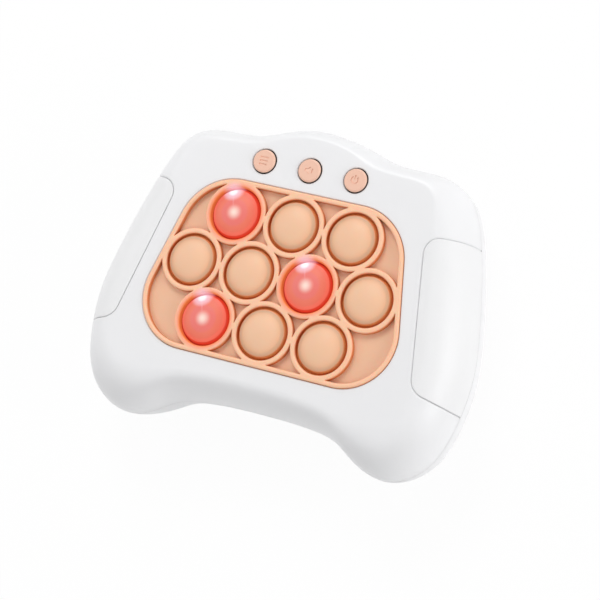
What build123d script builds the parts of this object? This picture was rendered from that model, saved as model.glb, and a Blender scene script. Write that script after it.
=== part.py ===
from build123d import *
import math
import os

# A hand-held electronic bubble pop game, lying on its back. Millimetres, +Z up out of the face,
# +Y towards the button edge, origin under the middle of the casing on the surface it rests on.

# Casing, which reaches past the panel on all sides
casing_side_margin = 20.35
casing_end_margin = 27.6
casing_height = 44.0
seam_height = 24.0
wall = 2.6
lip_height = 1.6
lip_thickness = 1.2
opening_bevel = 0.3
level_step = 18

# Silicone panel, its raised rings and its ten bubbles
panel_side_margin = 1.2
panel_end_margin = 0.8
panel_taper = 15.6
panel_top_radius = 22.4
panel_bottom_radius = 21.0
panel_proud = 0.6
panel_gap = 0.15
rim_width = 2.0
floor_depth = 2.6
sheet_thickness = 2.0
flange_width = 2.0
bubble_pitch = 25.0
bubble_row_pitch = 21.4
dome_radius = 9.4
dome_rise = 2.1
dome_edge_drop = 2.9
dome_proud = 1.6
dome_skin = 1.2
dome_web = 1.0
dome_edge_round = 1.3
moat_width = 1.05
ring_width = 2.15
ring_edge_round = 0.8
bubble_travel = 3.0

# Three buttons above the panel
button_pitch = 19.5
button_panel_gap = 8.9
button_radius = 4.55
button_gap = 0.5
button_proud = 0.9
button_travel = 0.8
button_flange_radius = 5.9
button_flange_thickness = 1.4
button_stem_radius = 1.6
button_edge_round = 0.7
sign_depth = 0.35
sign_line = 0.6
sign_size = 3.4

# Grip panels let into the casing's sides
grip_thickness = 1.3
grip_seam = 0.1
grip_edge_round = 0.4
recess_edge_round = 0.8
grip_top_radius = 6.0
grip_bottom_radius = 7.0

# Guide tray and light caps
tray_thickness = 1.6
tray_margin = 3.0
pad_end_offset = 3.8
pad_side_offset = 5.2
sleeve_wall = 1.3
sleeve_drop = 6.4
light_cap_wall = 1.2
light_cap_length = 7.0
plunger_radius = 1.6

# Circuit board and what is on it
board_thickness = 1.6
board_drop = 8.8
board_top_inset = 1.55
board_bottom_inset = 9.15
board_end_inset = 3.8
board_edge = 0.7
board_corner = 4.0
shell_leg_side = 11.5
shell_leg_rise = 2.5
switch_side = 6.0
switch_body_height = 3.4
switch_height = 5.0
switch_button_radius = 1.6
led_length = 2.8
led_width = 1.6
led_height = 0.8
led_offset = 4.9
chip_side = 9.0
chip_height = 1.5
chip_edge_inset = 5.8
chip_y = -13.0

# Battery box, its door and three AA cells
cell_radius = 7.25
cell_length = 50.5
cell_nub_length = 1.0
cell_nub_radius = 2.75
cell_count = 3
cell_gap = 0.3
box_half_length = 28.0
box_centre_y = -5.5
box_wall = 1.8
collar_width = 6.0
door_thickness = 2.4
door_overlap = 2.4
door_gap = 0.2
door_tab_length = 8.5
door_corner = 3.0
door_latch_width = 8.0
door_latch_length = 2.4
door_latch_thickness = 1.0
contact_thickness = 0.5
contact_side = 10.0
spring_wire = 0.7
spring_radius = 3.2
spring_turns = 3.25

# Speaker and its grille
speaker_gap = 5.2
speaker_radius = 13.5
speaker_rim_height = 2.4
speaker_basket_radius = 9.5
speaker_basket_height = 5.4
magnet_radius = 7.0
magnet_height = 3.0
cone_thickness = 0.4
cone_dust_cap_radius = 4.0
speaker_ring_wall = 1.4
speaker_ring_height = 4.0
grille_hole_radius = 0.9
grille_pitch = 3.6
grille_rings = 3

# Screws and their posts
case_post_radius = 4.2
case_screw_radius = 1.5
case_head_radius = 2.8
case_head_height = 1.8
case_head_level = 9.0
case_screw_grip = 10.0
small_screw_radius = 1.15
small_head_radius = 2.1
small_head_height = 1.4
small_screw_grip = 7.0
tray_screw_grip = 1.9
post_radius = 2.6
pad_radius = 3.2
screw_hole_gap = 0.4
thread_gap = 0.05

# Leads
lead_radius = 0.6
lead_spacing = 1.8
lead_step = 3.2
lead_reach = 5.0
lead_bend_radius = 3.6

# Running gaps: between a pressed piece and its guide, between pieces that stay put, and past a cut, and
# how near an edge lies to a surface that it is on
slide_gap = 0.3
rest_gap = 0.1
overrun = 1.0
edge_reach = 0.02

# The casing's half outline at its widest level (x, y) and round its flat face (x, y), from the middle
# of the button edge to the middle of the chin, as shares of half the casing's width and length
casing_outline_shares = [
    (0.000, 1.000, 0.000, 0.897),
    (0.214, 0.952, 0.189, 0.856),
    (0.403, 0.891, 0.340, 0.788),
    (0.616, 0.878, 0.560, 0.766),
    (0.761, 0.769, 0.654, 0.673),
    (0.843, 0.577, 0.687, 0.497),
    (0.913, 0.296, 0.730, 0.240),
    (0.976, -0.048, 0.777, -0.064),
    (1.000, -0.353, 0.811, -0.321),
    (0.962, -0.689, 0.786, -0.585),
    (0.868, -0.905, 0.704, -0.697),
    (0.717, -1.000, 0.591, -0.721),
    (0.553, -0.946, 0.465, -0.702),
    (0.377, -0.833, 0.327, -0.670),
    (0.000, -0.801, 0.000, -0.649),
]

# Corners of the right grip panel seen from above, in the same shares: inner top, inner bottom, and two
# past the casing's side
grip_outline_shares = [(0.665, 0.449), (0.804, -0.465), (1.200, -0.572), (1.200, 0.567)]

# The loudspeaker sign's outline, as shares of the sign's size
loudspeaker_shares = [(-0.5, -0.18), (-0.22, -0.18), (0.12, -0.46), (0.12, 0.46), (-0.22, 0.18), (-0.5, 0.18)]

# Places of the case screws, as shares of half the casing, and of the tray's pads and legs, as shares of
# half the panel, each mirrored to the other side
case_post_shares = [(0.640, 0.625), (0.717, -0.745)]
tray_pad_share = 0.64
tray_leg_shares = [(0.828, 0.661), (0.877, -0.690)]

# Sizes and places that follow from the values above
bore_radius = dome_radius + moat_width
ring_radius = bore_radius + ring_width
panel_length = 2 * (bubble_row_pitch + ring_radius + panel_end_margin)
panel_width = 3 * bubble_pitch + 2 * (ring_radius + panel_side_margin)
panel_top_width = panel_width - panel_taper
panel_bottom_width = panel_width + panel_taper
casing_width = panel_bottom_width + 2 * casing_side_margin
casing_length = panel_length + 2 * casing_end_margin
button_y = panel_length / 2 + button_panel_gap
shell_leg_x = button_pitch + shell_leg_side
shell_leg_y = button_y + shell_leg_rise
board_high_y = shell_leg_y + post_radius + board_edge
board_low_y = board_end_inset - panel_length / 2
face_inside = casing_height - wall
rim_top = casing_height + panel_proud
floor_top = rim_top - floor_depth
sheet_low = floor_top - sheet_thickness
tray_low = sheet_low - tray_thickness
board_top = tray_low - board_drop
board_low = board_top - board_thickness
dome_top = casing_height + dome_proud + panel_proud
dome_edge = dome_top - dome_rise
web_top = dome_edge - dome_edge_drop
web_low = web_top - dome_web
web_radius = bore_radius - slide_gap
switch_top = board_top + switch_height

# Places of the ten bubbles: name, x, y
bubble_rows = [("top", 3, bubble_row_pitch), ("middle", 4, 0), ("bottom", 3, -bubble_row_pitch)]
bubble_places = [
    (f"{row}_{number + 1}", (number - (count - 1) / 2) * bubble_pitch, row_y)
    for row, count, row_y in bubble_rows
    for number in range(count)
]
button_places = [("menu_button", -button_pitch), ("sound_button", 0), ("power_button", button_pitch)]


def disc(radius, low, high, x=0, y=0):
    """A round solid that stands between two heights."""
    base = (Align.CENTER, Align.CENTER, Align.MIN)
    return Pos(x, y, low) * Cylinder(radius, high - low, align=base)


def block(width, length, low, high, x=0, y=0):
    """A square-edged solid that stands between two heights."""
    base = (Align.CENTER, Align.CENTER, Align.MIN)
    return Pos(x, y, low) * Box(width, length, high - low, align=base)


def slab(face, low, high):
    """A flat face drawn at height zero, made a solid between two heights."""
    return extrude(Pos(0, 0, low) * face, high - low)


def turned(profile):
    """A solid turned about Z from a closed profile in X and Z."""
    return revolve(profile, Axis.Z)


def both_sides(places):
    """Each place, and the same place on the other side."""
    return [(side * x, y) for x, y in places for side in (-1, 1)]


def share_places(shares, width, length):
    """Places given as shares of half a width and half a length, on both sides."""
    return both_sides([(x_share * width / 2, y_share * length / 2) for x_share, y_share in shares])


def write(name, *solids):
    """One file for each node, with all of its solids."""
    found = [solid for shape in solids for solid in shape.solids()]
    whole = found[0] if len(found) == 1 else Compound(children=found)
    export_step(whole, f"parts/{name}.step")


# Casing: rounded levels from the flat back, through the widest level at the seam, to the flat face

def casing_level(angle, inset):
    """The casing's outline at one level: 90 is the face, 0 the seam and -90 the back."""
    spread = math.cos(math.radians(angle))
    rise = casing_height - seam_height - inset if angle > 0 else seam_height - inset
    height = seam_height + rise * math.sin(math.radians(angle))
    right = [
        Vector(
            (face_x + (wide_x - face_x) * spread) * casing_width / 2,
            (face_y + (wide_y - face_y) * spread) * casing_length / 2,
            height,
        )
        for wide_x, wide_y, face_x, face_y in casing_outline_shares
    ]
    left = [Vector(-point.X, point.Y, height) for point in reversed(right[1:-1])]
    points = right + left
    moved = []
    for number, point in enumerate(points):
        along = points[(number + 1) % len(points)] - points[number - 1]
        inward = Vector(along.Y, -along.X, 0).normalized()
        moved.append(point + inward * inset * spread)
    parameters = [number / len(moved) for number in range(len(moved) + 1)]
    return Wire([Edge.make_spline(moved, periodic=True, parameters=parameters)])


def casing_body(inset):
    """The casing's outside, or the same form drawn in by a wall."""
    levels = [casing_level(angle, inset) for angle in range(-90, 91, level_step)]
    return Solid.make_loft(levels)


def grip_prism(side, gap):
    """The upright prism that a grip panel is cut from, or its recess with a seam round it."""
    corners = [
        (x_share * casing_width / 2, y_share * casing_length / 2)
        for x_share, y_share in grip_outline_shares
    ]
    radii = [grip_top_radius, grip_bottom_radius, 0, 0]
    face = make_face(FilletPolyline(*corners, radius=radii, close=True))
    if gap:
        face = offset(face, gap)
    prism = slab(face, seam_height + grip_seam - gap, casing_height + overrun)
    return prism if side > 0 else mirror(prism, Plane.YZ)


def panel_face(grow=0):
    """The silicone panel's outline, a rounded trapezoid, grown or shrunk evenly."""
    corners = [
        (-panel_top_width / 2, panel_length / 2),
        (panel_top_width / 2, panel_length / 2),
        (panel_bottom_width / 2, -panel_length / 2),
        (-panel_bottom_width / 2, -panel_length / 2),
    ]
    radii = [panel_top_radius, panel_top_radius, panel_bottom_radius, panel_bottom_radius]
    face = make_face(FilletPolyline(*corners, radius=radii, close=True))
    return offset(face, grow) if grow else face


outside = casing_body(0)
skin = outside.shells()[0]
inside = casing_body(wall)
behind_grips = casing_body(grip_thickness)
lip_inside = casing_body(wall + lip_thickness)
reach = casing_width + casing_length
upper_half = block(reach, reach, seam_height, casing_height + overrun)
lower_half = block(reach, reach, -overrun, seam_height)
case_places = share_places(case_post_shares, casing_width, casing_length)
leg_places = share_places(tray_leg_shares, panel_width, panel_length)
shell_leg_places = both_sides([(shell_leg_x, shell_leg_y)])
board_screw_places = leg_places + shell_leg_places
pad_end_y = panel_length / 2 + pad_end_offset
pad_places = both_sides(
    [
        (tray_pad_share * panel_width / 2, pad_end_y),
        (panel_width / 2 + pad_side_offset, 0),
        (tray_pad_share * panel_width / 2, -pad_end_y),
    ]
)
post_reach = face_inside + wall / 2


def rim_edges(solid, tool):
    """The edges on the casing's outside that an upright tool has cut, or that bound a piece cut from it."""
    walls = tool.faces().filter_by(Axis.Z, reverse=True)
    return [
        edge
        for edge in solid.edges()
        if skin.distance_to(edge @ 0.5) < edge_reach
        and min(wall.distance_to(edge @ 0.5) for wall in walls) < edge_reach
    ]


def make_top_shell():
    """Front casing: panel opening, button holes, grip recesses, screw posts and pads."""
    shell = (outside & upper_half) - inside
    for x, y in case_places:
        shell += disc(case_post_radius, seam_height, post_reach, x, y) & outside
    for x, y in pad_places:
        shell += disc(pad_radius, sheet_low, post_reach, x, y)
    for x, y in shell_leg_places:
        shell += disc(post_radius, board_top, post_reach, x, y)
    openings = [slab(panel_face(panel_gap), sheet_low, casing_height + overrun)]
    for name, x in button_places:
        hole_radius = button_radius + button_gap
        openings.append(disc(hole_radius, sheet_low, casing_height + overrun, x, button_y))
    for opening in openings:
        shell -= opening
    recesses = [grip_prism(side, grip_seam) for side in (-1, 1)]
    for recess in recesses:
        shell -= recess - behind_grips
    for x, y in case_places:
        depth = seam_height + case_screw_grip + overrun
        shell -= disc(case_screw_radius + thread_gap, seam_height - overrun, depth, x, y)
    for x, y in pad_places:
        depth = sheet_low + tray_screw_grip + rest_gap
        shell -= disc(small_screw_radius + thread_gap, sheet_low - overrun, depth, x, y)
    for x, y in shell_leg_places:
        depth = board_top + small_screw_grip + overrun
        shell -= disc(small_screw_radius + thread_gap, board_top - overrun, depth, x, y)
    for opening in openings:
        shell = chamfer(rim_edges(shell, opening), opening_bevel)
    for recess in recesses:
        shell = fillet(rim_edges(shell, recess), recess_edge_round)
    return shell


def make_grip(side):
    """White side inlay that follows the casing's roll."""
    prism = grip_prism(side, 0)
    grip = (prism & outside) - behind_grips
    return fillet(rim_edges(grip, prism), grip_edge_round)


# Silicone panel: sheet, rim and rings, clamped by a flange behind the front casing

def make_bubble_panel():
    """The peach sheet with its raised rim, its ten rings and their bores."""
    sheet = slab(panel_face(), sheet_low, floor_top)
    flange = slab(panel_face(flange_width), sheet_low, face_inside)
    rim = slab(panel_face() - panel_face(-rim_width), sheet_low, rim_top)
    panel = sheet + flange + rim
    for name, x, y in bubble_places:
        panel += disc(ring_radius, sheet_low, rim_top, x, y)
    panel &= slab(panel_face(), sheet_low, rim_top) + flange
    for name, x, y in bubble_places:
        panel -= disc(bore_radius, sheet_low - overrun, rim_top + overrun, x, y)
    for x, y in pad_places:
        panel -= disc(pad_radius + slide_gap, sheet_low - overrun, face_inside + overrun, x, y)
    return fillet(panel.faces().sort_by(Axis.Z)[-1].edges(), ring_edge_round)


def cap_profile(radius, low, sphere_radius, sphere_centre):
    """Half section of a pillar with a domed top, in X and Z."""
    edge = sphere_centre + math.sqrt(sphere_radius**2 - radius**2)
    top = sphere_centre + sphere_radius
    half = radius / 2
    half_height = sphere_centre + math.sqrt(sphere_radius**2 - half**2)
    outline = [
        Line((0, 0, low), (radius, 0, low)),
        Line((radius, 0, low), (radius, 0, edge)),
        ThreePointArc((radius, 0, edge), (half, 0, half_height), (0, 0, top)),
        Line((0, 0, top), (0, 0, low)),
    ]
    return make_face(outline)


sphere_radius = (dome_radius**2 + dome_rise**2) / (2 * dome_rise)
sphere_centre = dome_top - sphere_radius
light_cap_radius = dome_radius - dome_skin - rest_gap
light_cap_low = web_low - light_cap_length
guide_radius = light_cap_radius + slide_gap
dome_room_low = web_low - bubble_travel - slide_gap
sleeve_low = tray_low - sleeve_drop


def make_dome():
    """One silicone bubble: domed cap, skirt, and the web that joins it to the sheet."""
    dome = turned(cap_profile(dome_radius, web_low, sphere_radius, sphere_centre))
    round_edges = dome.edges().filter_by(lambda edge: edge.is_closed).sort_by(Axis.Z)
    dome = fillet(round_edges[-1], dome_edge_round)
    dome += disc(web_radius, web_low, web_top)
    hollow = cap_profile(dome_radius - dome_skin, web_low - overrun, sphere_radius - dome_skin, sphere_centre)
    return dome - turned(hollow)


def make_light_cap():
    """Translucent cap under a bubble: domed roof, guided skirt and the plunger on its switch."""
    roof_radius = sphere_radius - dome_skin - rest_gap
    cap = turned(cap_profile(light_cap_radius, light_cap_low, roof_radius, sphere_centre))
    inner_radius = light_cap_radius - light_cap_wall
    hollow = cap_profile(inner_radius, light_cap_low - overrun, roof_radius - light_cap_wall, sphere_centre)
    cap -= turned(hollow)
    plunger_low = switch_top + bubble_travel + slide_gap
    roof_middle = dome_top - dome_skin - rest_gap - light_cap_wall / 2
    return cap + disc(plunger_radius, plunger_low, roof_middle)


# Buttons: round caps with a flange behind the casing, a stem, and a plain sign cut in the top

def menu_sign():
    """Three short bars, one above the other."""
    step = (sign_size - sign_line) / 2
    bars = [Pos(0, place * step) * Rectangle(sign_size, sign_line) for place in (-1, 0, 1)]
    return bars[0] + bars[1] + bars[2]


def sound_sign():
    """A loudspeaker seen from the side, with one bar of sound beside it."""
    corners = [(x_share * sign_size, y_share * sign_size) for x_share, y_share in loudspeaker_shares]
    bar = Pos((sign_size - sign_line) / 2, 0) * Rectangle(sign_line, sign_size / 2)
    return make_face(Polyline(*corners, close=True)) + bar


def power_sign():
    """An open ring with a bar in its gap."""
    ring = Circle(sign_size / 2) - Circle(sign_size / 2 - sign_line)
    ring -= Pos(0, sign_size / 2) * Rectangle(3 * sign_line, sign_size / 2)
    return ring + Pos(0, sign_size / 2 - sign_line) * Rectangle(sign_line, sign_size / 2)


def make_button(x, sign):
    """One push button with its sign."""
    top = casing_height + button_proud
    flange_top = face_inside - slide_gap
    flange_low = flange_top - button_flange_thickness
    cap = disc(button_radius, flange_low, top, x, button_y)
    cap = fillet(cap.faces().sort_by(Axis.Z)[-1].edges(), button_edge_round)
    cap += disc(button_flange_radius, flange_low, flange_top, x, button_y)
    cap += disc(button_stem_radius, switch_top + button_travel + slide_gap, flange_low, x, button_y)
    return cap - slab(Pos(x, button_y) * sign, top - sign_depth, top + overrun)


# Guide tray: a plate under the sheet with a sleeve for each light cap and legs for the board

def make_guide_tray():
    """The tray that clamps the silicone sheet and guides the light caps."""
    tray = slab(panel_face(tray_margin), tray_low, sheet_low)
    for x, y in pad_places:
        tray += disc(pad_radius, tray_low, sheet_low, x, y)
    for name, x in button_places:
        room = button_flange_radius + 2 * slide_gap
        tray -= disc(room, tray_low - overrun, sheet_low + overrun, x, button_y)
    for name, x, y in bubble_places:
        tray += disc(bore_radius + sleeve_wall, dome_room_low - sleeve_wall, sheet_low, x, y)
        tray += disc(guide_radius + sleeve_wall, sleeve_low, sheet_low, x, y)
    for x, y in leg_places:
        tray += disc(post_radius, board_top, tray_low, x, y)
    for name, x, y in bubble_places:
        tray -= disc(bore_radius, dome_room_low, sheet_low + overrun, x, y)
        tray -= disc(guide_radius, sleeve_low - overrun, sheet_low + overrun, x, y)
    for x, y in pad_places:
        hole = small_screw_radius + screw_hole_gap
        tray -= disc(hole, tray_low - overrun, sheet_low + overrun, x, y)
    for x, y in leg_places:
        depth = board_top + small_screw_grip + overrun
        tray -= disc(small_screw_radius + thread_gap, board_top - overrun, depth, x, y)
    return tray


# Circuit board, switches, lights and chip

def make_circuit_board():
    """The board under the tray, reaching up to the buttons."""
    corners = [
        (board_top_inset - panel_top_width / 2, board_high_y),
        (panel_top_width / 2 - board_top_inset, board_high_y),
        (panel_bottom_width / 2 - board_bottom_inset, board_low_y),
        (board_bottom_inset - panel_bottom_width / 2, board_low_y),
    ]
    face = make_face(FilletPolyline(*corners, radius=board_corner, close=True))
    board = slab(face, board_low, board_top)
    for x, y in board_screw_places:
        hole = small_screw_radius + screw_hole_gap
        board -= disc(hole, board_low - overrun, board_top + overrun, x, y)
    return board


def make_switch(x, y):
    """A tact switch: square body and round button."""
    body = block(switch_side, switch_side, board_top, board_top + switch_body_height, x, y)
    return body + disc(switch_button_radius, board_top, switch_top, x, y)


switch_places = [(x, y) for name, x, y in bubble_places] + [(x, button_y) for name, x in button_places]
led_top = board_top + led_height
leds = [
    block(led_length, led_width, board_top, led_top, x, y - led_offset)
    for name, x, y in bubble_places
]
chip_x = chip_edge_inset + (chip_side - panel_width) / 2
controller_chip = block(chip_side, chip_side, board_low - chip_height, board_low, chip_x, chip_y)


# Battery box in the back casing, its door, the cells and their contacts

bay_width = cell_count * 2 * cell_radius + (cell_count + 1) * cell_gap
cell_level = door_thickness + cell_gap + cell_radius
box_roof = cell_level + cell_radius + cell_gap
door_half_length = box_half_length + door_overlap
door_high_y = box_centre_y + bay_width / 2 + door_overlap
door_low_y = box_centre_y - bay_width / 2 - door_tab_length
door_mid_y = (door_high_y + door_low_y) / 2
door_screw_y = door_low_y + door_tab_length / 2
door_post_top = door_thickness + small_screw_grip + overrun
collar_top = door_thickness + wall
speaker_ring_radius = speaker_radius + rest_gap + speaker_ring_wall
speaker_y = door_high_y + speaker_gap + speaker_ring_radius


def door_face(grow):
    """The door's outline, grown for the recess that it lies in."""
    width = 2 * (door_half_length + grow)
    length = door_high_y - door_low_y + 2 * grow
    return Pos(0, door_mid_y) * RectangleRounded(width, length, door_corner + grow)


def latch_blocks(gap):
    """The two tongues on the door's upper edge, or the slots that they hook into."""
    low = door_thickness - door_latch_thickness - gap
    high = door_thickness + gap
    width = door_latch_width + 2 * gap
    length = 2 * door_latch_length + gap
    return [
        block(width, length, low, high, side * box_half_length / 2, door_high_y + gap / 2)
        for side in (-1, 1)
    ]


def make_bottom_shell():
    """Back casing: battery box, speaker ring with grille, seam lip and screw posts."""
    shell = (outside & lower_half) - inside
    full_width = 2 * (box_half_length + box_wall)
    box = block(full_width, bay_width + 2 * box_wall, 0, box_roof + box_wall, 0, box_centre_y)
    collar = slab(door_face(collar_width), 0, collar_top) & outside
    shell += box + collar
    shell += disc(post_radius + box_wall, 0, door_post_top, 0, door_screw_y)
    ring_top = wall + speaker_ring_height
    shell += disc(speaker_ring_radius, wall - rest_gap, ring_top, 0, speaker_y)
    shell -= disc(speaker_radius + rest_gap, wall, ring_top + overrun, 0, speaker_y)
    shell += (inside & block(reach, reach, seam_height - wall, seam_height + lip_height)) - lip_inside
    for x, y in case_places:
        shell += disc(case_post_radius, 0, seam_height, x, y) & outside
    shell -= block(2 * box_half_length, bay_width, -overrun, box_roof, 0, box_centre_y)
    shell -= slab(door_face(door_gap), -overrun, door_thickness)
    for slot in latch_blocks(door_gap):
        shell -= slot
    depth = door_thickness + small_screw_grip
    shell -= disc(small_screw_radius + thread_gap, 0, depth, 0, door_screw_y)
    for x, y in case_places:
        shell -= disc(case_screw_radius + screw_hole_gap, -overrun, seam_height + overrun, x, y)
        shell -= disc(case_head_radius + screw_hole_gap, -overrun, case_head_level, x, y)
    shell -= grille_holes()
    return shell


def grille_holes():
    """A hexagon of round sound holes under the speaker."""
    holes = []
    for row in range(-grille_rings, grille_rings + 1):
        count = 2 * grille_rings + 1 - abs(row)
        for number in range(count):
            x = (number - (count - 1) / 2) * grille_pitch
            y = speaker_y + row * grille_pitch * math.sqrt(3) / 2
            holes.append(disc(grille_hole_radius, -overrun, wall + overrun, x, y))
    return holes


def make_battery_door():
    """The flat door with two tongues and a screw tab."""
    door = slab(door_face(0), 0, door_thickness)
    for tongue in latch_blocks(0):
        door += tongue
    door -= disc(small_screw_radius + screw_hole_gap, -overrun, door_thickness + overrun, 0, door_screw_y)
    head_room = small_head_radius + screw_hole_gap
    return door - disc(head_room, -overrun, small_head_height, 0, door_screw_y)


def make_screw(x, y, head_low, head_radius, head_height, shank_radius, length):
    """A round-headed screw pointing up, with a cross cut in its head."""
    screw = disc(head_radius, head_low, head_low + head_height, x, y)
    screw += disc(shank_radius, head_low, head_low + head_height + length, x, y)
    slot = head_radius / 3
    depth = head_low + head_height / 2
    screw -= block(slot, head_radius, head_low - overrun, depth, x, y)
    return screw - block(head_radius, slot, head_low - overrun, depth, x, y)


nub_end = box_half_length - contact_thickness
cell_shift = nub_end - cell_length / 2
cell_ys = [
    box_centre_y + (number - (cell_count - 1) / 2) * (2 * cell_radius + cell_gap)
    for number in range(cell_count)
]


def cell_side(number):
    """Which way a cell's nub points: every other one is turned round."""
    return 1 if number % 2 == 0 else -1


def make_cell(number):
    """One AA cell lying along X."""
    body = Cylinder(cell_radius, cell_length - cell_nub_length)
    body = Pos(0, 0, -cell_nub_length / 2) * body
    nub = Pos(0, 0, cell_length / 2 - cell_nub_length / 2) * Cylinder(cell_nub_radius, cell_nub_length)
    side = cell_side(number)
    lie = Pos(side * cell_shift, cell_ys[number], cell_level) * Rot(0, 90 * side, 0)
    return lie * (body + nub)


def make_contact(number, side):
    """A spring-steel plate on one end wall of the box."""
    x = side * (box_half_length - contact_thickness / 2)
    return Pos(x, cell_ys[number], cell_level) * Box(contact_thickness, contact_side, contact_side)


def make_spring(number):
    """The coil that presses a cell's flat end, wound along X."""
    side = -cell_side(number)
    end = box_half_length - contact_thickness - spring_wire / 2
    start = cell_length / 2 - cell_shift + spring_wire / 2 + rest_gap
    height = end - start - rest_gap
    path = Helix(height / spring_turns, height, spring_radius)
    section = Plane(origin=path @ 0, z_dir=path % 0) * Circle(spring_wire / 2)
    coil = sweep(section, path, is_frenet=True)
    return Pos(side * start, cell_ys[number], cell_level) * Rot(0, 90 * side, 0) * coil


# Speaker

def make_speaker_frame():
    """Pressed frame, basket and magnet, with an open front for the cone."""
    rim_top_level = wall + speaker_rim_height
    basket_top = rim_top_level + speaker_basket_height
    frame = disc(speaker_radius, wall, rim_top_level, 0, speaker_y)
    frame += disc(speaker_basket_radius, wall, basket_top, 0, speaker_y)
    frame += disc(magnet_radius, wall, basket_top + magnet_height, 0, speaker_y)
    hollow = Pos(0, speaker_y, wall) * turned(cone_profile(0))
    return frame - hollow


def cone_profile(lift):
    """Half section of the space under the cone, in X and Z: wide at the front, narrow at the coil."""
    mouth = speaker_radius - speaker_ring_wall
    depth = speaker_rim_height + speaker_basket_height / 2
    points = [
        (0, 0, -overrun),
        (mouth, 0, -overrun),
        (mouth, 0, lift),
        (cone_dust_cap_radius, 0, depth + lift),
        (0, 0, depth + lift),
    ]
    return make_face(Polyline(*points, close=True))


def make_speaker_cone():
    """The thin paper cone that lines the frame."""
    outer = turned(cone_profile(0))
    inner = turned(cone_profile(-cone_thickness))
    cone = (outer - inner) & disc(speaker_radius, 0, speaker_radius)
    return Pos(0, speaker_y, wall) * cone


# Leads from the battery box and from the speaker up to the board

def lead_along(points):
    """One wire through a few places, with round bends."""
    path = FilletPolyline(*points, radius=lead_bend_radius)
    return sweep(Plane(origin=path @ 0, z_dir=path % 0) * Circle(lead_radius), path)


def make_battery_lead(number, side):
    """A wire from the end of the battery box, out and up to the board."""
    x = side * (box_half_length + box_wall)
    bend_x = x + side * lead_reach
    y = cell_ys[number]
    return lead_along([(x, y, cell_level), (bend_x, y, cell_level), (bend_x, y, board_low)])


def make_speaker_lead(side):
    """A wire from the speaker's rim that steps sideways on its way up to the board."""
    x = side * lead_spacing
    y = speaker_y - speaker_basket_radius - 2 * lead_radius
    low = wall + speaker_rim_height
    rise = (board_low - low - lead_step) / 2
    points = [
        (x, y, low),
        (x, y, low + rise),
        (x + lead_step, y, low + rise + lead_step),
        (x + lead_step, y, board_low),
    ]
    return lead_along(points)


os.makedirs("parts", exist_ok=True)

write("top_shell", make_top_shell())
write("bottom_shell", make_bottom_shell())
write("left_grip_panel", make_grip(-1))
write("right_grip_panel", make_grip(1))
write("bubble_panel", make_bubble_panel())
write("guide_tray", make_guide_tray())
write("circuit_board", make_circuit_board())
write("leds", *leds)
write("tact_switches", *[make_switch(x, y) for x, y in switch_places])
write("controller_chip", controller_chip)

dome = make_dome()
light_cap = make_light_cap()
for name, x, y in bubble_places:
    write(f"dome_{name}", Pos(x, y) * dome)
    write(f"light_cap_{name}", Pos(x, y) * light_cap)

for (name, x), sign in zip(button_places, (menu_sign(), sound_sign(), power_sign())):
    write(name, make_button(x, sign))

write("battery_door", make_battery_door())
write("batteries", *[make_cell(number) for number in range(cell_count)])
write("battery_contacts", *[make_contact(number, side) for number in range(cell_count) for side in (-1, 1)])
write("battery_springs", *[make_spring(number) for number in range(cell_count)])
write("speaker_frame", make_speaker_frame())
write("speaker_cone", make_speaker_cone())

small_screw = (small_head_radius, small_head_height, small_screw_radius)
write("battery_door_screw", make_screw(0, door_screw_y, 0, *small_screw, small_screw_grip))
case_shank = seam_height + case_screw_grip - case_head_level
write(
    "case_screws",
    *[
        make_screw(
            x, y, case_head_level - case_head_height,
            case_head_radius, case_head_height, case_screw_radius, case_shank,
        )
        for x, y in case_places
    ],
)
tray_shank = tray_thickness + tray_screw_grip
tray_head_low = tray_low - small_head_height
write("tray_screws", *[make_screw(x, y, tray_head_low, *small_screw, tray_shank) for x, y in pad_places])
board_head_low = board_low - small_head_height
board_shank = board_thickness + small_screw_grip
write(
    "board_screws",
    *[make_screw(x, y, board_head_low, *small_screw, board_shank) for x, y in board_screw_places],
)

write("battery_leads", make_battery_lead(0, 1), make_battery_lead(cell_count - 1, -1))
write("speaker_leads", make_speaker_lead(-1), make_speaker_lead(1))
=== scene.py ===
import bmesh
import bpy
import math
from mathutils import Matrix, Quaternion, Vector


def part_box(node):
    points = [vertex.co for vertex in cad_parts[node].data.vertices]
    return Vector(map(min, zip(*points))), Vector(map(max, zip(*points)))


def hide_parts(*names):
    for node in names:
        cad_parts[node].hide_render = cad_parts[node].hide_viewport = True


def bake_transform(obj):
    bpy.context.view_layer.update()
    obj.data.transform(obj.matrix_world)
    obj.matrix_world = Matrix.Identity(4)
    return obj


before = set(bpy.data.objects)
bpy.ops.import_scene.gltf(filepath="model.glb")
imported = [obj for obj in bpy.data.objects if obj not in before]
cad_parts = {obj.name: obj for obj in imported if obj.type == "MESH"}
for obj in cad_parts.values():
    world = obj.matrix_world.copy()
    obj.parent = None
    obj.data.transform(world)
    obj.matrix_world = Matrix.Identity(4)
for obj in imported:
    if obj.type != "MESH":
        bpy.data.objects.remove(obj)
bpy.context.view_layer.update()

# Camera: stands high beyond the right grip, turned so that the button edge points up and a little to the
# right, as in the photograph. It aims just beside the middle of the bubbles, towards the right handle.
camera_place = Vector((0.33939, -0.09725, 0.79099))
aim = Vector((0.01148, -0.00568, 0.04460))
camera_turn = math.radians(-59.48)
camera_lens = 130.31
camera = bpy.data.objects.new("camera", bpy.data.cameras.new("camera"))
bpy.context.scene.collection.objects.link(camera)
bpy.context.scene.camera = camera
camera.data.lens = camera_lens
camera.location = camera_place
camera.rotation_mode = "QUATERNION"
level_view = (aim - camera_place).to_track_quat("-Z", "Y")
camera.rotation_quaternion = level_view @ Quaternion((0, 0, 1), camera_turn)

# Back and front casing: two shells of white ABS, injection moulded in a tool with a fine satin texture.
# They meet at a hairline seam round the widest level, and four screws from the back hold them together.
grain_layers = 3.0


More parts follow.
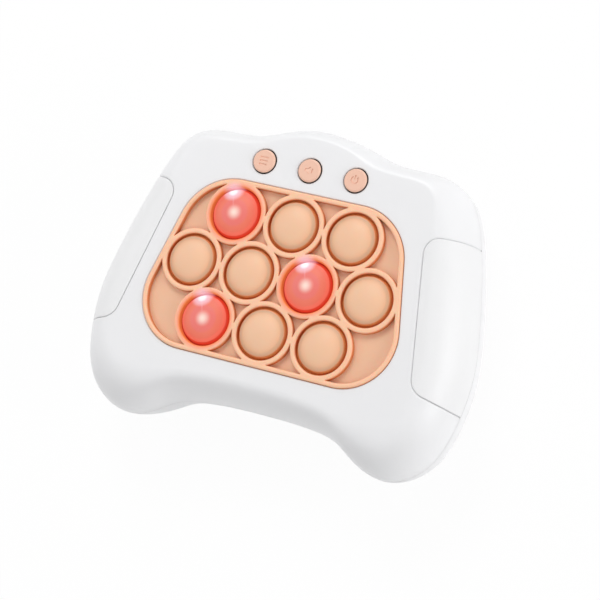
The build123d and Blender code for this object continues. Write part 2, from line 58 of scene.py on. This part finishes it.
class Wire:
    """A value on its way through the nodes of a finish, which sums can be written with."""

    def __init__(self, tree, socket):
        self.tree = tree
        self.socket = socket

    def node(self, kind, settings, inputs, output=0):
        """Any other node: its settings come first, then the values or links of its sockets."""
        made = self.tree.nodes.new(kind)
        for name, setting in settings.items():
            setattr(made, name, setting)
        for name, value in inputs.items():
            if isinstance(value, Wire):
                self.tree.links.new(value.socket, made.inputs[name])
            else:
                made.inputs[name].default_value = value
        return Wire(self.tree, made.outputs[output])

    def other(self, output):
        """Another output of the node that this value comes from."""
        return Wire(self.tree, self.socket.node.outputs[output])

    def sum(self, operation, *values):
        return self.node("ShaderNodeMath", {"operation": operation}, dict(enumerate(values)))

    def __add__(self, value):
        return self.sum("ADD", self, value)

    def __radd__(self, value):
        return self.sum("ADD", value, self)

    def __sub__(self, value):
        return self.sum("SUBTRACT", self, value)

    def __rsub__(self, value):
        return self.sum("SUBTRACT", value, self)

    def __mul__(self, value):
        return self.sum("MULTIPLY", self, value)

    def __rmul__(self, value):
        return self.sum("MULTIPLY", value, self)

    def __abs__(self):
        return self.sum("ABSOLUTE", self)

    def larger(self, value):
        return self.sum("MAXIMUM", self, value)

    def smaller(self, value):
        return self.sum("MINIMUM", self, value)

    def axis(self, number):
        """One coordinate of a place: 0 is X, 1 is Y and 2 is Z."""
        return self.node("ShaderNodeSeparateXYZ", {}, {"Vector": self}, number)

    def vector(self, operation, second, output="Vector"):
        """What a place and a second one give together."""
        return self.node("ShaderNodeVectorMath", {"operation": operation}, {0: self, 1: second}, output)

    def ramp(self, start, end):
        """Goes smoothly from 0 at start to 1 at end, which may be the lower one."""
        ends = {"Value": self, "From Min": start, "From Max": end}
        return self.node("ShaderNodeMapRange", {"interpolation_type": "SMOOTHSTEP"}, ends)

    def grain(self, size):
        """Noise whose lumps are about as large as size, with finer layers in them."""
        noise = {"Vector": self, "Scale": 1 / size, "Detail": grain_layers}
        return self.node("ShaderNodeTexNoise", {}, noise)

    def mix(self, first, second):
        """The first colour where this value is 0, and the second where it is 1."""
        return self.node("ShaderNodeMix", {"data_type": "RGBA"}, {0: self, 6: first, 7: second}, 2)

    def relief(self, depth):
        """Bumps that rise by depth where this value goes from 0 to 1."""
        return self.node("ShaderNodeBump", {}, {"Height": self, "Distance": depth, "Strength": 1.0})

    def feeds(self, shader, socket):
        self.tree.links.new(self.socket, shader.inputs[socket])


screen_full = 255
toe_end = 0.04045
toe_slope = 12.92
curve_shift = 0.055
curve_power = 2.4


def shown(red, green, blue):
    """A colour given as a screen shows it, from 0 to 255, as the shader needs it."""
    parts = [part / screen_full for part in (red, green, blue)]
    curved = [((part + curve_shift) / (1 + curve_shift)) ** curve_power for part in parts]
    return (*[part / toe_slope if part < toe_end else curve for part, curve in zip(parts, curved)], 1)


def finish(name, **even):
    """A new material: its shader, with what is the same all over it, and the place on the object."""
    material = bpy.data.materials.new(name)
    material.use_nodes = True
    tree = material.node_tree
    shader = tree.nodes["Principled BSDF"]
    for socket, value in even.items():
        shader.inputs[socket.replace("_", " ")].default_value = value
    return material, shader, Wire(tree, tree.nodes.new("ShaderNodeTexCoord").outputs["Object"])


def moulded(place, shader, rough, uneven, drift_size, grain_size, grain_depth):
    """What a mould leaves: gloss that drifts a little, and a fine raised grain."""
    (rough + uneven * place.grain(drift_size)).feeds(shader, "Roughness")
    place.grain(grain_size).relief(grain_depth).feeds(shader, "Normal")


def dress(material, *nodes):
    """Gives solids of the construction their material."""
    for node in nodes:
        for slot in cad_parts[node].material_slots:
            slot.material = material


casing_white = shown(237, 237, 238)
casing_cloud = shown(234, 234, 236)
cloud_size = 0.03
satin_rough = 0.36
satin_uneven = 0.10
satin_grain = 0.00022
satin_depth = 0.000006
seam_grey = shown(208, 208, 208)
seam_level = 0.024
seam_width = 0.00010
white_depth = {"Subsurface_Weight": 0.4, "Subsurface_Radius": (1, 1, 1), "Subsurface_Scale": 0.003}
casing_satin, shader, place = finish("casing_satin", **white_depth)
seam = abs(place.axis(2) - seam_level).ramp(seam_width, seam_width / 2)
cloudy = place.grain(cloud_size).mix(casing_white, casing_cloud)
seam.mix(cloudy, seam_grey).feeds(shader, "Base Color")
moulded(place, shader, satin_rough, satin_uneven, cloud_size, satin_grain, satin_depth)
dress(casing_satin, "bottom_shell", "top_shell")

# Speaker behind the grille in the back: a pressed steel frame with its magnet, zinc plated, and a cone
# of grey paper with long fibres. The frame sits in a ring of the back casing.
mottle_uneven = 0.12
lump_to_grain = 6


def mottled(name, first, second, lump, rough, depth, **even):
    """A finish that drifts between two colours over lumps, with a finer relief."""
    material, shader, place = finish(name, **even)
    place.grain(lump).mix(first, second).feeds(shader, "Base Color")
    moulded(place, shader, rough, mottle_uneven, lump, lump / lump_to_grain, depth)
    return material


zinc_grey = shown(168, 170, 174)
zinc_pale = shown(192, 194, 196)
zinc = mottled("zinc_plate", zinc_grey, zinc_pale, lump=0.004, rough=0.24, depth=0.00001, Metallic=1.0)
dress(zinc, "speaker_frame")
paper_grey = shown(70, 68, 66)
paper_pale = shown(92, 89, 85)
paper = mottled("cone_paper", paper_grey, paper_pale, lump=0.0015, rough=0.80, depth=0.00004)
dress(paper, "speaker_cone")

# Battery door: white ABS like the casing, flat, with two tongues at one edge and a screw tab at the other.
# It comes from another tool than the casing, and its satin is a little duller.
door_rough = 0.42
door_satin, shader, place = finish("door_satin", **white_depth)
place.grain(cloud_size).mix(casing_cloud, casing_white).feeds(shader, "Base Color")
moulded(place, shader, door_rough, satin_uneven, cloud_size, satin_grain, satin_depth)
dress(door_satin, "battery_door")

# Three AA cells: steel cans in a printed sleeve, one colour round the nub's end and another round the
# rest, turned end for end by turns. The steel shows at both ends.
cell_steel = shown(190, 190, 188)
sleeve_dark = shown(52, 54, 60)
sleeve_copper = shown(190, 120, 70)
cell_low, cell_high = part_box("batteries")
middle_cell_y = (cell_low.y + cell_high.y) / 2
cell_count = 3
cell_half_width = (cell_high.y - cell_low.y) / (2 * cell_count)
band_start = 0.0085
sleeve_end = 0.0238
print_edge = 0.0001
sleeve_metal = 0.2
sleeve_rough = 0.28
sleeve_drift = 0.003
sleeve_depth = 0.000003
cell_sleeve, shader, place = finish("cell_sleeve", Coat_Weight=0.3)
turned_cell = abs(place.axis(1) - middle_cell_y).ramp(cell_half_width + print_edge, cell_half_width)
along = place.axis(0) * (1 - 2 * turned_cell)
bare = abs(along).ramp(sleeve_end, sleeve_end + print_edge)
sleeve = along.ramp(band_start, band_start + print_edge).mix(sleeve_dark, sleeve_copper)
bare.mix(sleeve, cell_steel).feeds(shader, "Base Color")
(sleeve_metal + (1 - sleeve_metal) * bare).feeds(shader, "Metallic")
moulded(place, shader, sleeve_rough, satin_uneven, sleeve_drift, satin_grain, sleeve_depth)
dress(cell_sleeve, "batteries")

# Battery contacts and springs: plates stamped and springs wound from nickel-plated spring steel. The plates
# stand against the two end walls of the battery box, with a spring at the flat end of each cell.
nickel_warm = shown(196, 192, 182)
nickel_pale = shown(214, 210, 200)
nickel_finish = {"lump": 0.002, "rough": 0.20, "depth": 0.000008, "Metallic": 1.0}
nickel = mottled("nickel_plate", nickel_warm, nickel_pale, **nickel_finish)
dress(nickel, "battery_contacts", "battery_springs")

# Leads: stranded copper in soft PVC, black on the left and red on the right, from the battery box's two
# ends and from the speaker up to the board.
pvc_red = shown(176, 34, 30)
pvc_black = shown(34, 34, 36)
lead_rough = 0.42
lead_uneven = 0.12
lead_drift = 0.0008
lead_grain = 0.0003
lead_depth = 0.00001
lead_pvc, shader, place = finish("lead_pvc")
place.axis(0).ramp(-print_edge, print_edge).mix(pvc_black, pvc_red).feeds(shader, "Base Color")
moulded(place, shader, lead_rough, lead_uneven, lead_drift, lead_grain, lead_depth)
dress(lead_pvc, "battery_leads", "speaker_leads")

# Circuit board: a glass-fibre board under green lacquer, with copper tracks that show through as a lighter
# green. Six small screws hold it to the legs of the guide tray and of the front casing.
board_green = shown(28, 92, 58)
track_green = shown(62, 134, 84)
track_pitch = 0.0022
track_wander = 6.0
track_start = 0.62
track_full = 0.70
track_height = 0.00003
lacquer_rough = 0.34
lacquer_uneven = 0.08
board_lacquer, shader, place = finish("board_lacquer", Coat_Weight=0.4)
waves = {"Vector": place, "Scale": 1 / track_pitch / math.tau, "Distortion": track_wander, "Detail": 1.0}
bands = {"wave_type": "BANDS", "bands_direction": "DIAGONAL"}
tracks = place.node("ShaderNodeTexWave", bands, waves, 1).ramp(track_start, track_full)
tracks.mix(board_green, track_green).feeds(shader, "Base Color")
(lacquer_rough + lacquer_uneven * place.grain(track_pitch)).feeds(shader, "Roughness")
tracks.relief(track_height).feeds(shader, "Normal")
dress(board_lacquer, "circuit_board")

# On the board: thirteen tact switches in black nylon with a round button, one lamp chip for each bubble,
# and the controller in black epoxy.
nylon_black = shown(30, 30, 32)
nylon_grey = shown(48, 48, 50)
nylon = mottled("switch_nylon", nylon_black, nylon_grey, lump=0.001, rough=0.46, depth=0.00001)
dress(nylon, "tact_switches")
epoxy_black = shown(22, 22, 24)
epoxy_grey = shown(34, 34, 36)
epoxy = mottled("chip_epoxy", epoxy_black, epoxy_grey, lump=0.0006, rough=0.60, depth=0.00001)
dress(epoxy, "controller_chip")
phosphor_yellow = shown(240, 226, 150)
phosphor_pale = shown(248, 240, 190)
phosphor = mottled("lamp_phosphor", phosphor_yellow, phosphor_pale, lump=0.0008, rough=0.36, depth=0.00001)
dress(phosphor, "leds")

# Screws: zinc-plated steel with round heads and a cross slot, and here with plain shanks. The real ones
# cut their own thread in the plastic bosses.
screw_grey = shown(150, 152, 156)
screw_pale = shown(186, 188, 190)
screw_finish = {"lump": 0.0012, "rough": 0.28, "depth": 0.00001, "Metallic": 1.0}
screw_steel = mottled("screw_steel", screw_grey, screw_pale, **screw_finish)
dress(screw_steel, "case_screws", "tray_screws", "board_screws", "battery_door_screw")

# Guide tray under the silicone: moulded in ABS tinted in the panel's colour, with a sleeve for each light
# cap. Screws hold it up against the front casing, with the silicone between them.
tray_orange = shown(196, 120, 78)
tray_pale = shown(206, 130, 88)
tray_abs = mottled("tray_abs", tray_orange, tray_pale, lump=0.01, rough=0.48, depth=0.00001)
dress(tray_abs, "guide_tray")

# Light caps: cups moulded in frosted polycarbonate, one loose in its sleeve under each bubble. They spread
# the lamps' light and carry the press down to the switches.
rows = {"top": 3, "middle": 4, "bottom": 3}
bubble_names = [f"{row}_{number + 1}" for row, count in rows.items() for number in range(count)]
frost_pale = shown(238, 236, 230)
frost_white = shown(246, 244, 240)
frost_finish = {"lump": 0.004, "rough": 0.50, "depth": 0.00001, "Transmission_Weight": 0.5}
frosted = mottled("cap_frosted", frost_pale, frost_white, **frost_finish)
dress(frosted, *[f"light_cap_{name}" for name in bubble_names])

# Silicone panel: one sheet moulded in peach silicone rubber, with a raised rim and ten raised rings. The
# ring walls and creases get painted shade, and three rings get a painted red glow and star glint.


def under(node):
    """The point on the back's plane below the middle of a node."""
    low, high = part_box(node)
    return Vector(((low.x + high.x) / 2, (low.y + high.y) / 2, 0))


bubbles = {name: under(f"dome_{name}") for name in bubble_names}
lit_bubbles = ("top_1", "middle_3", "bottom_1")
rim_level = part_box("bubble_panel")[1].z
rim_height = 0.0026
floor_level = rim_level - rim_height
ring_peach = shown(247, 197, 162)
wall_painted_shade = shown(220, 132, 80)
crease_painted_shade = shown(206, 118, 66)
floor_peach = shown(235, 188, 155)
ring_glow = shown(250, 140, 110)
bore_glow = shown(244, 138, 76)
painted_star_glint = shown(250, 208, 222)
wall_start = 0.0001
wall_slope = 0.0009
foot_height = 0.0003
wall_top = rim_level - wall_start
wall_middle = rim_level - wall_slope
wall_foot = floor_level + foot_height
floor_edge = 0.00004
glow_start = 0.0129
glow_full = 0.0101
star_offset = Vector((-0.0031, 0.0077, 0))
star_glint_reach = 0.0052
star_glint_full = 0.0016
star_glint_share = 0.85
bore_edge = 0.0107
ring_middle = 0.0113
glow_share = 0.4
unlit_black = shown(0, 0, 0)
silicone_rough = 0.42
silicone_uneven = 0.12
silicone_drift = 0.010
silicone_grain = 0.00035
silicone_depth = 0.000010
flat = Vector((1, 1, 0))
soft = {"Subsurface_Weight": 0.35, "Subsurface_Scale": 0.0015}
panel_silicone, shader, place = finish("panel_silicone", Emission_Strength=glow_share, **soft)
height = place.axis(2)
across_panel = place.vector("MULTIPLY", flat)
nearest = across_panel.vector("DISTANCE", bubbles["top_1"], "Value")
for name in bubble_names[1:]:
    nearest = nearest.smaller(across_panel.vector("DISTANCE", bubbles[name], "Value"))
in_bore = nearest.ramp(ring_middle, bore_edge)
# Painted shade: the ring walls turn orange and then brown down into the creases.
tone = height.ramp(wall_top, wall_middle).mix(ring_peach, wall_painted_shade)
tone = height.ramp(wall_middle, wall_foot).mix(tone, crease_painted_shade)
on_floor = abs(height - floor_level).ramp(2 * floor_edge, floor_edge)
tone = on_floor.mix(tone, floor_peach)
glow = 0
star_glint = 0
# Painted light: a red glow on the rings round the lit bubbles, with a pink star glint.
for name in lit_bubbles:
    glow = across_panel.vector("DISTANCE", bubbles[name], "Value").ramp(glow_start, glow_full) + glow
    star = across_panel.vector("DISTANCE", bubbles[name] + star_offset, "Value")
    star_glint = star.ramp(star_glint_reach, star_glint_full) * star_glint_share + star_glint
above_floor = height.ramp(floor_level, wall_middle).larger(in_bore)
lit_ring = in_bore.mix(ring_glow, bore_glow)
tone = (star_glint * above_floor).mix((glow * above_floor).mix(tone, lit_ring), painted_star_glint)
glowing = glow.larger(star_glint) * above_floor
(glowing * glow_share).mix(tone, unlit_black).feeds(shader, "Base Color")
glowing.mix(unlit_black, tone).feeds(shader, "Emission Color")
moulded(place, shader, silicone_rough, silicone_uneven, silicone_drift, silicone_grain, silicone_depth)
dress(panel_silicone, "bubble_panel")

# Bubbles: ten soft silicone domes. A thin skirt dips round each dome, rises to the ring's wall and runs
# down it into the tray, so that the dome can be pressed in. Modelled once, as a turned section, and copied.
dome_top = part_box("dome_top_1")[1].z
dome_radius = 0.0098
dome_rise = 0.0021
dome_skin = 0.0011
skirt_skin = 0.00075
shoulder_round = 0.0020
shoulder_steps = 8
moat_floor = 0.0419
moat_steps = 8
lip_radius = 0.01040
lip_width = 0.0001
hem_level = 0.0372
sphere_radius = (dome_radius**2 + dome_rise**2) / (2 * dome_rise)
crown_steps = 14
turn_steps = 96
weld = 0.000002
nearby = 0.00001
crease_angle = math.radians(40)


def edit(piece):
    """Opens one piece for editing, with nothing else selected and nothing in it selected."""
    bpy.ops.object.select_all(action="DESELECT")
    bpy.context.view_layer.objects.active = piece
    piece.select_set(True)
    bpy.ops.object.mode_set(mode="EDIT")
    bpy.ops.mesh.select_mode(type="EDGE")
    bpy.ops.mesh.select_all(action="DESELECT")


def crown(radius, skin):
    """Height of the dome's outside, or of its inside when a skin is given, at a radius."""
    ball = sphere_radius - skin
    return dome_top - sphere_radius + math.sqrt(ball**2 - radius**2)


def round_edge(piece, radius, level, size, steps):
    """Rounds the circle of edges that lies at a radius and a height."""
    bpy.ops.mesh.select_all(action="DESELECT")
    mesh = bmesh.from_edit_mesh(piece.data)
    for edge in mesh.edges:
        corners = [corner.co for corner in edge.verts]
        if all(abs(co.z - level) < nearby and abs(co.xy.length - radius) < nearby for co in corners):
            edge.select_set(True)
    bmesh.update_edit_mesh(piece.data)
    bpy.ops.mesh.bevel(offset=size, segments=steps, affect="EDGES")


inner_radius = dome_radius - dome_skin
edge_level = crown(dome_radius, 0)
# The section runs over the crown, down round the moat, over the lip and down to the hem, and back inside.
outer_radii = [dome_radius * step / crown_steps for step in range(crown_steps + 1)]
inner_radii = [inner_radius * step / crown_steps for step in range(crown_steps, -1, -1)]
section = [(radius, crown(radius, 0)) for radius in outer_radii]
hem_radius = lip_radius - skirt_skin
skirt_low = moat_floor - skirt_skin
moat_half = (lip_radius - lip_width - dome_radius) / 2
for step in range(moat_steps + 1):
    turn = math.pi * step / moat_steps
    across_moat = dome_radius + moat_half * (1 - math.cos(turn))
    section.append((across_moat, moat_floor + moat_half * (1 - math.sin(turn))))
section += [(lip_radius, moat_floor + moat_half), (lip_radius, hem_level)]
section += [(hem_radius, hem_level), (hem_radius, skirt_low), (inner_radius, skirt_low)]
section += [(radius, crown(radius, dome_skin)) for radius in inner_radii]

bpy.ops.object.select_all(action="DESELECT")
bpy.ops.mesh.primitive_plane_add(size=dome_radius, location=(0, 0, 0))
dome = bpy.context.object
dome.name = "bubble_dome"
edit(dome)
bpy.ops.mesh.select_all(action="SELECT")
bpy.ops.mesh.merge(type="CENTER")
bpy.ops.mesh.select_mode(type="VERT")
bpy.ops.mesh.select_all(action="SELECT")
bpy.ops.transform.translate(value=(section[0][0], 0, section[0][1]))
for (radius, level), (next_radius, next_level) in zip(section, section[1:]):
    step = (next_radius - radius, 0, next_level - level)
    bpy.ops.mesh.extrude_region_move(TRANSFORM_OT_translate={"value": step})
bpy.ops.mesh.select_all(action="SELECT")
bpy.ops.mesh.spin(steps=turn_steps, angle=math.tau, center=(0, 0, 0), axis=(0, 0, 1))
bpy.ops.mesh.select_all(action="SELECT")
bpy.ops.mesh.remove_doubles(threshold=weld)
bpy.ops.mesh.normals_make_consistent(inside=False)
bpy.ops.mesh.select_mode(type="EDGE")
round_edge(dome, dome_radius, edge_level, shoulder_round, shoulder_steps)
bpy.ops.object.mode_set(mode="OBJECT")
bpy.ops.object.shade_smooth_by_angle(angle=crease_angle)

# The bubbles' silicone: the same rubber as the panel's, pale peach on the crown, with orange painted shade
# down the flank and into the moat. The colours follow the place at rest, also while a bubble is pressed.


def at_rest(place):
    """The place on a soft piece before it folds, which its mesh keeps as an attribute."""
    return place.node("ShaderNodeAttribute", {"attribute_name": "rest_place"}, {}, "Vector")


bubble_peach = shown(240, 193, 158)
flank_painted_shade = shown(234, 148, 88)
moat_painted_shade = shown(250, 156, 84)
shoulder_rise = 0.0017
flank_drop = 0.0008
shoulder_level = edge_level + shoulder_rise
flank_level = edge_level - flank_drop
bubble_silicone, shader, place = finish("bubble_silicone", **soft)
place = at_rest(place)
height = place.axis(2)
# Painted shade: orange down the flank, and a deeper orange into the moat.
tone = height.ramp(shoulder_level, flank_level).mix(bubble_peach, flank_painted_shade)
height.ramp(flank_level, moat_floor).mix(tone, moat_painted_shade).feeds(shader, "Base Color")
moulded(place, shader, silicone_rough, silicone_uneven, silicone_drift, silicone_grain, silicone_depth)

# The three lit bubbles: the same silicone over its burning lamp, with the lamp's light painted into it as a
# coral glow, a pink heart, a hot spot, a star glint on the shoulder and a flank in deep red painted shade.
lit_heart = shown(234, 116, 107)
lit_zone = shown(236, 118, 92)
lit_flank_painted_shade = shown(230, 66, 46)
lit_deep_painted_shade = shown(196, 46, 20)
hot_white = shown(255, 224, 211)
star_pink = shown(249, 200, 212)
star_white = shown(255, 248, 253)
heart_reach = 0.0047
zone_start = 0.0062
hot_reach = 0.0037
hot_offset = Vector((0.0001, 0, 0))
star_up = star_offset.length
star_turn = math.atan2(-star_offset.x, star_offset.y)
star_right = Vector((math.cos(star_turn), math.sin(star_turn), 0))
star_ahead = Vector((-math.sin(star_turn), math.cos(star_turn), 0))
star_width = 0.0050
star_length = 0.0040
core_share = 0.45
streak_width = 0.0005
streak_share = 0.35


def glow_painted_silicone(name, centre):
    """The painted glow of one lit bubble, drawn round its own centre."""
    material, shader, place = finish(name, Emission_Strength=glow_share, **soft)
    place = at_rest(place)
    height = place.axis(2)
    offset = place.vector("SUBTRACT", centre)
    reach = place.vector("MULTIPLY", flat).vector("DISTANCE", centre, "Value")
    right = offset.vector("DOT_PRODUCT", star_right, "Value")
    ahead = offset.vector("DOT_PRODUCT", star_ahead, "Value")
    tone = reach.ramp(heart_reach, zone_start).mix(lit_heart, lit_zone)
    # Painted shade: the glow turns deep red down the flank and into the moat.
    tone = height.ramp(shoulder_level, flank_level).mix(tone, lit_flank_painted_shade)
    tone = height.ramp(flank_level, moat_floor).mix(tone, lit_deep_painted_shade)
    # Painted light: a streak, a hot spot over the lamp and a star glint on the shoulder.
    streak = abs(right).ramp(streak_width, 0) * ahead.ramp(0, star_up) * streak_share
    tone = streak.mix(tone, star_pink)
    from_hot = place.vector("MULTIPLY", flat).vector("DISTANCE", centre + hot_offset, "Value")
    tone = from_hot.ramp(hot_reach, 0).mix(tone, hot_white)
    beside = right * (1 / star_width)
    beyond = (ahead - star_up) * (1 / star_length)
    spread = beside * beside + beyond * beyond
    tone = spread.ramp(1, 0).mix(tone, star_pink)
    tone = spread.ramp(core_share**2, 0).mix(tone, star_white)
    tone.feeds(shader, "Emission Color")
    dimmed = place.node("ShaderNodeMix", {"data_type": "RGBA"}, {0: glow_share, 6: tone, 7: unlit_black}, 2)
    dimmed.feeds(shader, "Base Color")
    moulded(place, shader, silicone_rough, silicone_uneven, silicone_drift, silicone_grain, silicone_depth)
    return material


for name, centre in bubbles.items():
    bubble = dome.copy()
    bubble.data = dome.data.copy()
    bubble.name = f"bubble_{name}_dome"
    bpy.context.scene.collection.objects.link(bubble)
    bubble.data.transform(Matrix.Translation(centre))
    rest_place = bubble.data.attributes.new("rest_place", "FLOAT_VECTOR", "POINT")
    rest_place.data.foreach_set("vector", [part for corner in bubble.data.vertices for part in corner.co])
    lit = name in lit_bubbles
    bubble.data.materials.append(glow_painted_silicone(f"glow_painted_silicone_{name}", centre) if lit else bubble_silicone)
    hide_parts(f"dome_{name}")
    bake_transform(bubble)
bpy.data.objects.remove(dome)

# Three push buttons: firm caps of peach silicone rubber, moulded with a rounded edge and a sunk sign for
# menu, sound and power. Painted light pales the sign's floor; painted shade darkens the caps in their
# holes.
button_peach = shown(236, 190, 167)
sign_painted_light = shown(246, 204, 182)
button_painted_shade = shown(60, 42, 34)
button_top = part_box("sound_button")[1].z
sign_depth = 0.00035
shade_start = 0.0008
shade_full = 0.0014
button_rough = 0.38
button_drift = 0.004
button_rubber, shader, place = finish("button_rubber")
height = place.axis(2)
# Painted light: the sign's floor is paler, against the shade in its recess.
in_sign = height.ramp(button_top - sign_depth / 2, button_top - sign_depth)
tone = in_sign.mix(button_peach, sign_painted_light)
# Painted shade: the caps darken down their flanks in their holes.
painted_shade_sides = height.ramp(button_top - shade_start, button_top - shade_full)
painted_shade_sides.mix(tone, button_painted_shade).feeds(shader, "Base Color")
moulded(place, shader, button_rough, satin_uneven, button_drift, satin_grain, satin_depth)
dress(button_rubber, "menu_button", "sound_button", "power_button")

# Grip panels: side inlays of white ABS in a slightly denser satin than the casing's. Each is set flush in
# its recess, behind a fine seam.
grip_white = shown(240, 240, 241)
grip_cloud = shown(237, 237, 238)
grip_rough = 0.42
grip_satin, shader, place = finish("grip_satin", **white_depth)
place.grain(cloud_size).mix(grip_white, grip_cloud).feeds(shader, "Base Color")
moulded(place, shader, grip_rough, satin_uneven, cloud_size, satin_grain, satin_depth)
dress(grip_satin, "left_grip_panel", "right_grip_panel")

# Floor and light: a white floor that shows white with a faint shadow, a white room, a strong soft lamp
# beyond the button edge, another beyond the right grip, and weak ones beyond the left grip and the handles.


def in_view(tree):
    """1 for what is seen, straight, in a reflection or through a clear piece, and 0 for the rest."""
    straight = Wire(tree, tree.nodes.new("ShaderNodeLightPath").outputs["Is Camera Ray"])
    mirrored = straight.larger(straight.other("Is Glossy Ray"))
    return mirrored.larger(straight.other("Is Transmission Ray"))


floor_side = 6.0
floor_drop = 0.0001
floor_tone = shown(250, 250, 250)
floor_white = shown(255, 255, 255)
floor_rough = 0.9
shadow_share = 0.06
resting_gap = 0.001
resting_light = 0.95
bpy.ops.object.select_all(action="DESELECT")
bpy.ops.mesh.primitive_plane_add(size=floor_side, location=(0, 0, -floor_drop))
floor = bpy.context.object
floor.name = "floor"
floor_paint, shader, place = finish("floor_paint", Base_Color=floor_tone, Roughness=floor_rough)
tree = floor_paint.node_tree
bright = place.node("ShaderNodeEmission", {}, {"Color": floor_white, "Strength": 1.0})
clear = place.node("ShaderNodeBsdfTransparent", {}, {})
below = place.node("ShaderNodeNewGeometry", {}, {}, "Backfacing")
painted = Wire(tree, shader.outputs[0])
# The flat back rests within a hair of the floor, and would be dark in the views from below. What looks
# at the floor from so near sees it bright, so that the back is lit as if the game were held up.
ray_length = Wire(tree, tree.nodes.new("ShaderNodeLightPath").outputs["Ray Length"])
resting = ray_length.sum("LESS_THAN", ray_length, resting_gap) * resting_light
shown_share = resting.larger(in_view(tree) * (1 - shadow_share))
lifted = place.node("ShaderNodeMixShader", {}, {0: shown_share, 1: painted, 2: bright})
open_below = place.node("ShaderNodeMixShader", {}, {0: below, 1: lifted, 2: clear})
tree.links.new(open_below.socket, tree.nodes["Material Output"].inputs["Surface"])
floor_paint.cycles.emission_sampling = "NONE"
floor.data.materials.append(floor_paint)

room_light = 0.40
room = bpy.data.worlds.new("room")
bpy.context.scene.world = room
room.use_nodes = True
back = room.node_tree.nodes["Background"]
back.inputs["Color"].default_value = floor_white
(room_light + (1 - room_light) * in_view(room.node_tree)).feeds(back, "Strength")

lamp_side = 0.5


def soft_lamp(name, place, energy):
    """A square lamp that faces the object."""
    lamp = bpy.data.objects.new(name, bpy.data.lights.new(name, "AREA"))
    bpy.context.scene.collection.objects.link(lamp)
    lamp.data.size = lamp_side
    lamp.data.energy = energy
    lamp.location = place
    lamp.rotation_mode = "QUATERNION"
    lamp.rotation_quaternion = (-place).to_track_quat("-Z", "Y")


soft_lamp("edge_lamp", place=Vector((-0.20, 0.75, 0.80)), energy=5.0)
soft_lamp("right_lamp", place=Vector((0.88, 0.05, 0.30)), energy=3.6)
soft_lamp("left_lamp", place=Vector((-0.70, 0.10, 0.60)), energy=1.2)
soft_lamp("front_lamp", place=Vector((-0.10, -0.60, 0.80)), energy=1.5)

bpy.context.scene.view_settings.view_transform = "Standard"
